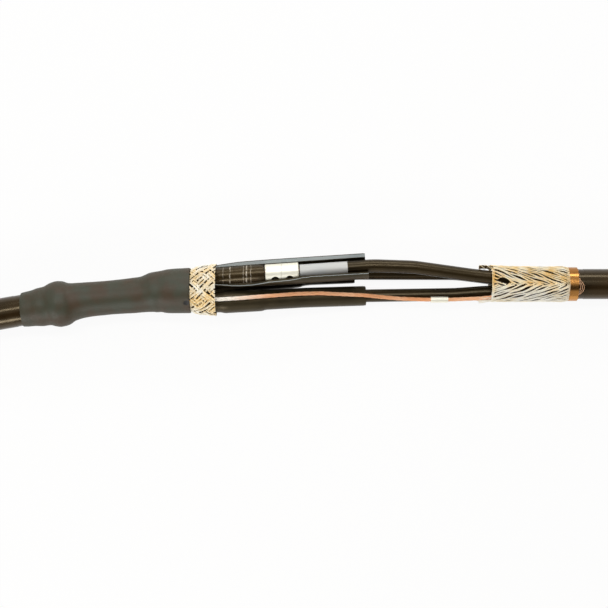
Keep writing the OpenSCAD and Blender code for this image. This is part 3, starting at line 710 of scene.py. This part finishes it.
# %% Cut the opened sleeve
BACK_FACE, FRONT_FACE, LAST_BORE = ARC + 1, 2 * ARC + 4, 2 * ARC + 3
points, faces, kinds = join_rings(loops, False,
                                  lambda i, j: 1 if j in (BACK_FACE, FRONT_FACE) else 0)
faces.pop()
kinds.pop()
last = (len(loops) - 1) * len(loops[0])
for j in range(ARC):
    bore = LAST_BORE - j
    faces.append((last + j, last + j + 1, last + bore - 1, last + bore))
    kinds.append(1)
opened = make_piece("opened_sleeve", points, faces, kinds,
                    [shrunk_elastomer, knife_cut_elastomer])
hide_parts("joint_sleeve_1")
print("grey faces:", sum(kinds))

# %% [markdown]
# Left of the window the sleeve is whole, and narrows like a bell down to core 1.

# %% Shrink the opened sleeve's root
BELL_OUT, BELL_OUT_X, BELL_OUT_LONG = 4.6, -214, 20
BELL_IN, BELL_IN_X, BELL_IN_LONG = 4.65, -212, 8
ROOT_END = -190
root_stations = [(p, d, TAIL_OUT + BELL_OUT * eased((p.x - BELL_OUT_X) / BELL_OUT_LONG),
                  TAIL_IN + BELL_IN * eased((p.x - BELL_IN_X) / BELL_IN_LONG))
                 for p, d in along(cores[0], SLEEVE_START, ROOT_END, 5)]
root = shell("opened_sleeve_root", root_stations, 48, [shrunk_elastomer])
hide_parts("joint_sleeve_1")
print("the root widens from", TAIL_OUT, "to", round(TAIL_OUT + BELL_OUT, 2), "mm of radius")

# %% [markdown]
# Under the window lies the stress control tube, with pale ring marks on it. They have no
# thickness, so they are painted in its finish as thin rings round the core, 1 to 2 mm wide as
# the real ones, and a noise breaks them up. The connector gets two dark rings: a faint mark
# in its middle, and painted shade at its chamfered right end.

# %% Ring the stress tube and the connector
TUBE_RINGS = [(-158, 0.9, 0.5), (-144.5, 1.3, 1.0), (-118, 0.9, 0.7), (-112, 1.8, 1.0),
               (-103.5, 1.0, 0.8)]
CONNECTOR_MARK_AND_SHADE_RINGS = [(-44, 2.4, 0.22), (-11.4, 1.0, 0.75)]
RING_NOISE_MM, STRAY_MM = 6.25, 3
RING_PATCH_LOW, RING_PATCH_HIGH = 0.3, 0.5
SOLID_PART = 0.2


def ringed(material, marks, colour):
    """Lay rings of a colour over a finish; marks are (x, width, strength)."""
    tree = material.node_tree
    where = add(tree, "ShaderNodeTexCoord")
    axes = add(tree, "ShaderNodeSeparateXYZ", {"Vector": where.outputs["Object"]})
    rough = add(tree, "ShaderNodeTexNoise", {"Vector": where.outputs["Object"],
                                             "Scale": 1 / (RING_NOISE_MM * MM), "Detail": 2.0})
    astray = add(tree, "ShaderNodeMath", {0: rough.outputs["Fac"], 1: STRAY_MM * MM,
                                          2: axes.outputs["X"]}, operation="MULTIPLY_ADD")
    total = 0.0
    for x, width, strength in marks:
        off = add(tree, "ShaderNodeMath", {0: astray.outputs[0], 1: (x + STRAY_MM / 2) * MM},
                  operation="SUBTRACT")
        off = add(tree, "ShaderNodeMath", {0: off.outputs[0]}, operation="ABSOLUTE")
        line = add(tree, "ShaderNodeMapRange", {"Value": off.outputs[0], "From Min": width * MM,
                                                "From Max": SOLID_PART * width * MM,
                                                "To Max": strength})
        total = add(tree, "ShaderNodeMath", {0: line.outputs[0], 1: total},
                    operation="MAXIMUM").outputs[0]
    patchy = add(tree, "ShaderNodeMapRange", {"Value": rough.outputs["Fac"],
                                              "From Min": RING_PATCH_LOW, "From Max": RING_PATCH_HIGH})
    amount = add(tree, "ShaderNodeMath", {0: total, 1: patchy.outputs[0]}, operation="MULTIPLY")
    lay_over(material, amount.outputs[0], colour)


ringed(shrunk_stress_tube, TUBE_RINGS, "#b4ab9c")
# The ring at -44 mm is a faint mark; the one at -11.4 mm is painted shade at the chamfered end.
ringed(plated_barrel, CONNECTOR_MARK_AND_SHADE_RINGS, "#857a58")
print("ring_marks at", [x for x, width, strength in TUBE_RINGS + CONNECTOR_MARK_AND_SHADE_RINGS], "mm")

# %% [markdown]
# The stress control tube was shrunk on round the core and cut back by hand to the connector,
# so its end is a little aslant and its edge is thinned. It is a plain shell with that end.

# %% Fit the stress tube
STRESS_START, STRESS_END = -200, -77.6
STRESS_OUT, STRESS_IN = 17.2, 12.9
TAPER, TAPER_X, TAPER_LONG = 0.8, -84, 4
ASLANT, ASLANT_X = -0.5, -82
stress = shell("stress_tube",
               [(p, d, STRESS_OUT - TAPER * eased((p.x - TAPER_X) / TAPER_LONG), STRESS_IN)
                for p, d in along(cores[0], STRESS_START, STRESS_END, 4)],
               48, [shrunk_stress_tube],
               shift=lambda x, a: ASLANT * math.cos(math.radians(a)) if x > ASLANT_X else 0)
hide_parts("stress_tube_1")
print("stress tube from", STRESS_START, "to", STRESS_END, "mm")

# %% [markdown]
# ## The jacket
# Near its right end the jacket has a nick, a small pit. Painted shade, nearly black, is laid
# over the finish round that point to darken the pit, with an edge that a fine noise makes
# ragged; the dent itself is pressed into the mesh further on.

# %% Shade the nick in the jacket's finish
NICK = Vector((-229, -19.5, 82))
NICK_REACH, NICK_FULL_SHADE = 8.5, 0.7
RAGGED_NOISE_MM, RAGGED_MM = 2.5, 3


def paint_nick_shade(material, colour):
    """Lay painted shade, a nearly black colour, over a finish round the nick."""
    tree = material.node_tree
    where = add(tree, "ShaderNodeTexCoord")
    ragged_noise = add(tree, "ShaderNodeTexNoise", {"Vector": where.outputs["Object"],
                                            "Scale": 1 / (RAGGED_NOISE_MM * MM)})
    away = add(tree, "ShaderNodeVectorMath", {0: where.outputs["Object"], 1: NICK * MM},
               operation="DISTANCE")
    away = add(tree, "ShaderNodeMath", {0: ragged_noise.outputs["Fac"], 1: RAGGED_MM * MM,
                                        2: away.outputs["Value"]}, operation="MULTIPLY_ADD")
    amount = add(tree, "ShaderNodeMapRange", {"Value": away.outputs[0],
                                              "From Min": NICK_REACH * MM,
                                              "From Max": NICK_FULL_SHADE * NICK_REACH * MM})
    lay_over(material, amount.outputs[0], colour)


# Painted shade in the nick's pit, nearly black.
paint_nick_shade(shrunk_polyolefin, "#0d0a06")
print("nick at", tuple(NICK), "mm")

# %% [markdown]
# The outer jacket is one heat shrink tube. It has shrunk over the roll spring as a bulge and
# over the sleeves as a wider end, so its profile is a smooth curve through the CAD sections.
# Shrinking leaves shallow dents, which only ever go inwards, and the nick is one more dent.

# %% Shrink the jacket
JACKET_START, JACKET_LENGTH, JACKET_STEPS = -554, 330.5, 110
JACKET_WALL = 2.6
JACKET_LINE = [(-554, -33, 33.9), (-548, -32, 34.4), (-533, -29.4, 35.6), (-520, -27.3, 38.2),
               (-505, -24.6, 39.2), (-496, -23, 42.7), (-485, -21.3, 45.3), (-476, -20.2, 44.9),
               (-467, -18.8, 43.1), (-457, -17, 38.2), (-441, -14.2, 35.6), (-425, -12.2, 34.6),
               (-402, -10, 34), (-372, -7.4, 33.8), (-343, -4.9, 34.8), (-317, -2.2, 35.6),
               (-305, 0, 37.6), (-297, 1.6, 39.6), (-283, 3.4, 40.6), (-270, 3.9, 43),
               (-254, 4.7, 44.1), (-223.5, 5.6, 44.9)]
DENT_DEPTH, DENT_LONG, DENT_WIDE = 2.2, 4.6, 4.2
# Shallow dents (size, depth), and the rounding of both ends (depth, from x, length).
HOLLOWS = ((38, 0.5), (11, 0.25))
LEFT_ROUND, RIGHT_ROUND = (0.9, -549, 5), (0.7, -227, 3.5)
jacket_line = smooth_table(JACKET_LINE)


def jacket_station(x):
    """Place, direction and radii of the jacket at x."""
    y, r = jacket_line(x)
    ahead, behind = jacket_line(x + 3)[0], jacket_line(x - 3)[0]
    place = Vector((x, y, AXIS_Z))
    end = (LEFT_ROUND[0] * eased((LEFT_ROUND[1] - x) / LEFT_ROUND[2])
           + RIGHT_ROUND[0] * eased((x - RIGHT_ROUND[1]) / RIGHT_ROUND[2]))

    def outer(a):
        p = place + around(X_AXIS, r, a)
        near = ((p.x - NICK.x) / DENT_LONG) ** 2 + ((p.y - NICK.y) / DENT_WIDE) ** 2
        dent = DENT_DEPTH * math.exp(-near) if a < 180 else 0
        wide, narrow = (depth * abs(noise.noise(p / size)) for size, depth in HOLLOWS)
        return r - end - dent - wide - narrow
    return place, Vector((6, ahead - behind, 0)).normalized(), outer, r - JACKET_WALL


jacket = shell("heat_shrink_jacket",
               [jacket_station(JACKET_START + JACKET_LENGTH * k / JACKET_STEPS)
                for k in range(JACKET_STEPS + 1)], 72, [shrunk_polyolefin])
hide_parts("outer_jacket")
print("jacket", JACKET_LENGTH, "mm long")

# %% [markdown]
# ## The screen meshes
# The screens of the two cables are joined by a sleeve of tinned copper braid, of which both
# ends show. A woven look painted on a tube would stay flat at its outline, so each wire is
# drawn as a thin round bar, and all of them make one mesh. The real wires are 0.2 mm thick;
# these are drawn 1 mm thick and more, so that they show at this size.

# %% Bundle thin wires
def bundle(name, routes, thick, materials, sides, pick=None):
    """One piece from many thin round wires, each a list of points; pick(number, step) gives
    the number of the material of one step of a wire."""
    points, faces, kinds = [], [], []
    for number, route in enumerate(routes):
        rings = []
        for i, p in enumerate(route):
            d = (route[min(i + 1, len(route) - 1)] - route[max(i - 1, 0)]).normalized()
            rings.append([p + around(d, thick / 2, 360 * j / sides) for j in range(sides)])
        found = join_rings(rings, False, lambda i, j: pick(number, i) if pick else 0)
        faces += [tuple(len(points) + v for v in face) for face in found[1]]
        kinds += found[2]
        points += found[0]
    return make_piece(name, points, faces, kinds, materials, sharp=60)


def triangles(piece):
    """How many triangles a piece has."""
    return sum(len(face.vertices) - 2 for face in piece.data.polygons)


print("a wire of 4 sides has", 2 * 4, "triangles from one step to the next")

# %% [markdown]
# A braid is two families of strands that wind round the tube in opposite ways and pass over
# and under each other. A strand is a few wires side by side. Its distance from the tube
# follows a cosine that is high at every second crossing, and a slower value that lets one
# family lie above the other over a whole patch. Noises make strands wander and wires stand
# out a little, as in a braid that has been handled.

# %% Wind a braid
STRAND_WAVE, WIRE_WAVE = 26, 17
WIRE_LOOSE = 0.5


def braid(x0, x1, line, pace, groups, wires, gap, rate, lift, bias, wander, opening=None):
    """Wire routes of a braid round line(x) = (y, z, r) from x0 to x1, and their heights.

    Each family has some groups, a group some wires that lie gap mm apart, and they wind rate
    degrees round for each millimetre. An opening may move a strand aside.
    """
    def middle(sign, group, x):
        return group * 360 / groups + sign * rate * (x - x0)

    def angle(sign, group, wire, x, r):
        a = (middle(sign, group, x) + math.degrees(gap * (wire - (wires - 1) / 2) / r)
             + wander * noise.noise(Vector((x / STRAND_WAVE, group * 5.7, sign * 9.2))))
        return opening(x, a, group, lambda at: middle(sign, group, at)) if opening else a

    def height(sign, group, wire, x, a):
        crossing = 2 * rate * (x - x0) * groups / 360
        woven = sign * (lift * math.cos(math.pi * crossing) + bias(x, math.radians(a)))
        loose = noise.noise(Vector((group * 7.3, sign * 3.1, wire * 0.4)))
        wavy = noise.noise(Vector((x / WIRE_WAVE, group * 2.9, wire + sign)))
        return woven + (WIRE_LOOSE * loose + WIRE_LOOSE * wavy)

    routes, heights = [], []
    steps = round((x1 - x0) / pace)
    for sign, group, wire in itertools.product((1, -1), range(groups), range(wires)):
        route, highs = [], []
        for k in range(steps + 1):
            x = x0 + (x1 - x0) * k / steps
            y, z, r = line(x)
            a = angle(sign, group, wire, x, r)
            high = height(sign, group, wire, x, a)
            route.append(Vector((x, y, z)) + around(X_AXIS, r + high, a))
            highs.append(high)
        routes.append(route)
        heights.append(highs)
    return routes, heights


def wire_look(heights, below, share):
    """Material number of a wire's step: 1, painted shade, where it dips under the rest, and
    otherwise 2 for a share of every five wires, whose tin has worn differently."""
    return lambda number, step: (1 if heights[number][step] < below
                                 else 2 if number * 7 % 5 < share else 0)


print("a strand wanders over", STRAND_WAVE, "mm and a wire over", WIRE_WAVE, "mm")

# %% [markdown]
# The left braid shows as a short collar, pulled wide over the sleeves, with its strands at a
# steep angle. In some patches one family lies on top, in the rest the other.

# %% Braid the left mesh
LEFT_MESH = [(-223, 5.6, 45.3, 40.6), (-206, 6.1, 47.9, 46.6), (-172, 7, 51.8, 50.2)]
LEFT_PATCH = 15


def patches(x, a):
    """How far the forward family lies above the other, in patches about 15 mm wide."""
    return math.tanh(6 * noise.noise(Vector((x / LEFT_PATCH, 2.2 * math.cos(a),
                                             2.2 * math.sin(a)))))


left_routes, left_heights = braid(-222.5, -172.5, smooth_table(LEFT_MESH), pace=2.2, groups=36,
                                  wires=5, gap=1.15, rate=1.1, lift=0.3, bias=patches,
                                  wander=7.0)
# Steps of a wire that dip under the other family get painted shade.
left_braid = bundle("left_screen_braid", left_routes, 1.05,
                    [tinned_copper, painted_shade_wire, worn_tinned_copper], 4,
                    pick=wire_look(left_heights, -0.7, 1))
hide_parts("left_mesh")
print("left braid triangles:", triangles(left_braid))

# %% [markdown]
# The right braid was pulled long, so its strands run at a low angle and make chevrons that
# point to the right cable. The family that winds forward lies on top at the back, the other at
# the front. Near the cut edge a hole has been worked open: strands are pushed aside to the
# side that they were on, and only a few strays still cross it.

# %% Braid the right mesh
RIGHT_MESH = [(368, 19.7, 36.1, 34.9), (385, 19.3, 35.9, 34.4), (425, 18.4, 35.5, 33.7),
              (480, 18.4, 35.5, 33.4), (500, 18.4, 35.5, 33.6), (508, 18.4, 35.5, 34),
              (517.6, 18.4, 35.5, 32.4), (521, 18.4, 35.5, 31.3)]
right_line = smooth_table(RIGHT_MESH)
HOLE_X, HOLE_ANGLE = 389, 84
HOLE_LONG, HOLE_WIDE, HOLE_PUSH = 15, 15, 40


def worked_open(x, a, group, middle):
    """Keep a strand on its own side of the hole; every seventh group strays across it."""
    turn = (a - HOLE_ANGLE + 180) % 360 - 180
    if group % 7 == 4 or abs(turn) > HOLE_PUSH:
        return a
    side = 1 if (middle(HOLE_X) - HOLE_ANGLE + 180) % 360 > 180 else -1
    edge = HOLE_WIDE * (1 - ((x - HOLE_X) / HOLE_LONG) ** 2)
    return a + side * max(0, edge - side * turn)


def chevrons(x, a):
    """How far the forward family lies above the other: up at the back, down at the front."""
    return 1.1 * math.tanh(4 * math.cos(a))


right_routes, right_heights = braid(368, 521, right_line, pace=3.4, groups=50, wires=3, gap=1.0,
                                    rate=0.66, lift=0.25, bias=chevrons, wander=7.5,
                                    opening=worked_open)
# Steps of a wire that dip under the other family get painted shade.
right_braid = bundle("right_screen_braid", right_routes, 1.0,
                     [front_paler_tinned_copper, painted_shade_wire, tinned_copper], 4,
                     pick=wire_look(right_heights, -0.1, 2))
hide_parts("right_mesh")
print("right braid triangles:", triangles(right_braid))

# %% [markdown]
# Under the right spring the braid is pressed flat, and little of it shows, so a plain shell
# stands for it there.

# %% Press the braid's end
PRESSED_OUT, PRESSED_IN = 31.75, 30.7
pressed = shell("pressed_braid_end",
                [(RIGHT_MIDDLE + X_AXIS * x, X_AXIS, PRESSED_OUT, PRESSED_IN)
                 for x in (515, 521, 529, 538)], 64, [front_paler_tinned_copper])
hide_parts("right_mesh")
print("pressed end triangles:", triangles(pressed))

# %% [markdown]
# At the cut edge of the right braid the wires bend round and lie along the edge. A tuft of them
# curls out at the back over core 1, and some loose ends lead down to the earth wire.

# %% Bend the edge wires and fray the loose ones
EDGE_X, EDGE_RADIUS = 368.4, 34.7
EDGE_FROM, EDGE_TO, EDGE_STEPS = -60, 235, 48
FRAY_STEPS = 14


def edge_wire(n):
    """Wire number n that lies round the braid's cut edge."""
    x, r = EDGE_X + 0.7 * n, EDGE_RADIUS + 0.35 * (n % 3)
    y, z, braid_radius = right_line(x)
    route = []
    for k in range(EDGE_STEPS + 1):
        a = EDGE_FROM + (EDGE_TO - EDGE_FROM) * k / EDGE_STEPS
        slow = noise.noise(Vector((n * 3.7, a / 40, 0)))
        route.append(Vector((x + 1.6 * slow, y, z)) + around(X_AXIS, r + 0.5 * slow, a))
    return route


def frayed(start, end, count, spread, seed, turns, sag=0.0):
    """Loose wires from one place to another, twisted a little round their middle line."""
    start, end = Vector(start), Vector(end)
    d = (end - start).normalized()
    found = []
    for n in range(count):
        first = 360 * n / count + 40 * noise.noise(Vector((seed, n * 1.9, 0)))
        reach = spread * (0.35 + 0.65 * ((n * 7 + seed) % 5) / 4)
        route = []
        for k in range(FRAY_STEPS + 1):
            t = k / FRAY_STEPS
            off = reach * (0.55 + 0.45 * math.cos(2.6 * t + n))
            bow = Vector((0, 0, sag * math.sin(math.pi * t)))
            route.append(start.lerp(end, t) + around(d, off, first + 360 * turns * t) + bow)
        found.append(route)
    return found


edge_wires = [edge_wire(n) for n in range(6)]
tuft = frayed((343.5, 51.8, 55), (371, 50.2, 53), count=30, spread=4.4, seed=3, turns=0.9)
upper_ends = frayed((340, -11.2, 44.8), (372, -8.6, 49), count=12, spread=4.4, seed=1,
                    turns=0.5, sag=1.5)
lower_ends = frayed((344, -15.2, 43), (378, -13, 46.5), count=12, spread=4, seed=2, turns=0.3)
print("edge wires:", len(edge_wires), "tuft:", len(tuft), "loose ends:",
      len(upper_ends) + len(lower_ends))

# %% [markdown]
# All of these wires become one piece. Most of the tuft gets painted shade, for the shade it
# lies in, and the ends by the earth wire have partly lost their tin.

# %% Bind the braid's cut edge
TUFT_FROM = len(edge_wires)
ENDS_FROM = TUFT_FROM + len(tuft)
ENDS_TO = ENDS_FROM + len(upper_ends)


def edge_look(number, step):
    """Material number: 2, painted shade, on most of the tuft, 1 bare copper on half the upper
    ends.
    """
    if TUFT_FROM <= number < ENDS_FROM and number % 3:
        return 2
    return 1 if ENDS_FROM <= number < ENDS_TO and number % 2 else 0


cut_edge = bundle("braid_cut_edge", edge_wires + tuft + upper_ends + lower_ends, 1.15,
                  [front_paler_tinned_copper, bare_copper, painted_shade_wire], 4,
                  pick=edge_look)
print("cut edge triangles:", triangles(cut_edge))

# %% [markdown]
# ## The earth wires
# The cable's own copper screen wires are twisted together into one strand that is laid over
# core 3. Seven wires are drawn, six of them wound round the seventh with a lay of 90 mm. The
# left strand is near white up to x -150 mm and turns to bare copper by x -60 mm. The part of
# the right strand that lies under the braid gets painted shade.

# %% Twist the earth wires
LEFT_EARTH = [(-462, -17.4, 65.5), (-317, -2.6, 66.2), (-272, 3.6, 68.4), (-228, 2.5, 74),
              (-174, -12.6, 84.2), (-125, -9.6, 80.4), (-76, -5.6, 73.4), (-14, -1, 61),
              (31, 0.2, 54), (80, -2, 49), (118, -3.6, 45.2), (150, -7, 39.2),
              (190, -10.4, 37.8), (238, -12.4, 42.2), (266, -12.4, 42.2)]
RIGHT_EARTH = [(267, -12.4, 42.2), (288, -12.4, 42.2), (347, -10, 44.2), (370, -7.8, 46),
               (395, 2.4, 50.9), (425, 9, 51.2), (506, 9, 51.5)]
WIRE, LAY = 2.6, 90
EARTH_BEND, EARTH_PACE = 60, 5
UNDER_BRAID_STEP = 22


def twisted(places):
    """Seven wires along a route: one in the middle and six that wind round it."""
    points = [Vector(p) for p in places]
    x0, x1 = points[0].x, points[-1].x
    route = along(rounded(points, EARTH_BEND, 3), x0, x1, EARTH_PACE)
    found = [[p for p, d in route]]
    for n in range(6):
        found.append([p + around(d, WIRE, 60 * n + 360 * (p.x - x0) / LAY) for p, d in route])
    return found


left_earth = bundle("left_earth_strand", twisted(LEFT_EARTH), WIRE, [copper_near_white_at_left],
                    7)
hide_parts("left_earth_wire")
# Past UNDER_BRAID_STEP the strand gets the copper in painted shade.
right_earth = bundle("right_earth_strand", twisted(RIGHT_EARTH), WIRE,
                     [bare_copper, painted_shade_copper], 7,
                     pick=lambda number, step: 1 if step > UNDER_BRAID_STEP else 0)
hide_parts("right_earth_wire")
print("wire ends meet in the ferrule at", LEFT_EARTH[-1][0], "mm")

# %% [markdown]
# The right cable's screen wires come out of the sheath's end, turn back over it and are held by
# the roll spring. Most end under it, and a few reach past it in flat loops.

# %% Turn the screen wires back
TURN_BACK = [(645.3, 27.75), (580, 27.75), (520, 27.75), (514, 27.8), (512.3, 28.5), (511.9, 29),
             (512.3, 29.5), (514, 29.95), (520, 29.95), (541, 29.95)]
SPRING_EDGE, LOOP_RADIUS = 538, 30.05


def turned_back(angle):
    """A wire from inside the sheath, round its cut end and back under the spring."""
    return [X_AXIS * x + RIGHT_MIDDLE + around(X_AXIS, r, angle) for x, r in TURN_BACK]


def looped(start, end, reach):
    """A wire that leaves the spring at one angle and goes back under it at another."""
    return [Vector((SPRING_EDGE + reach * math.sin(math.pi * t), 0, 0)) + RIGHT_MIDDLE
            + around(X_AXIS, LOOP_RADIUS + 0.5 * math.sin(math.pi * t),
                     start + (end - start) * t) for t in (k / 24 for k in range(25))]


screen_wires = [turned_back(20 * k + 10) for k in range(18)]
screen_wires += [looped(70 + 6 * n, 138 - 5 * n, 10.5 - 3.6 * n) for n in range(3)]
right_wires = bundle("right_screen_wires_turned_back", screen_wires, 0.95, [bare_copper],
                     6)
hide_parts("right_screen_wires")
print("screen wires:", len(screen_wires))
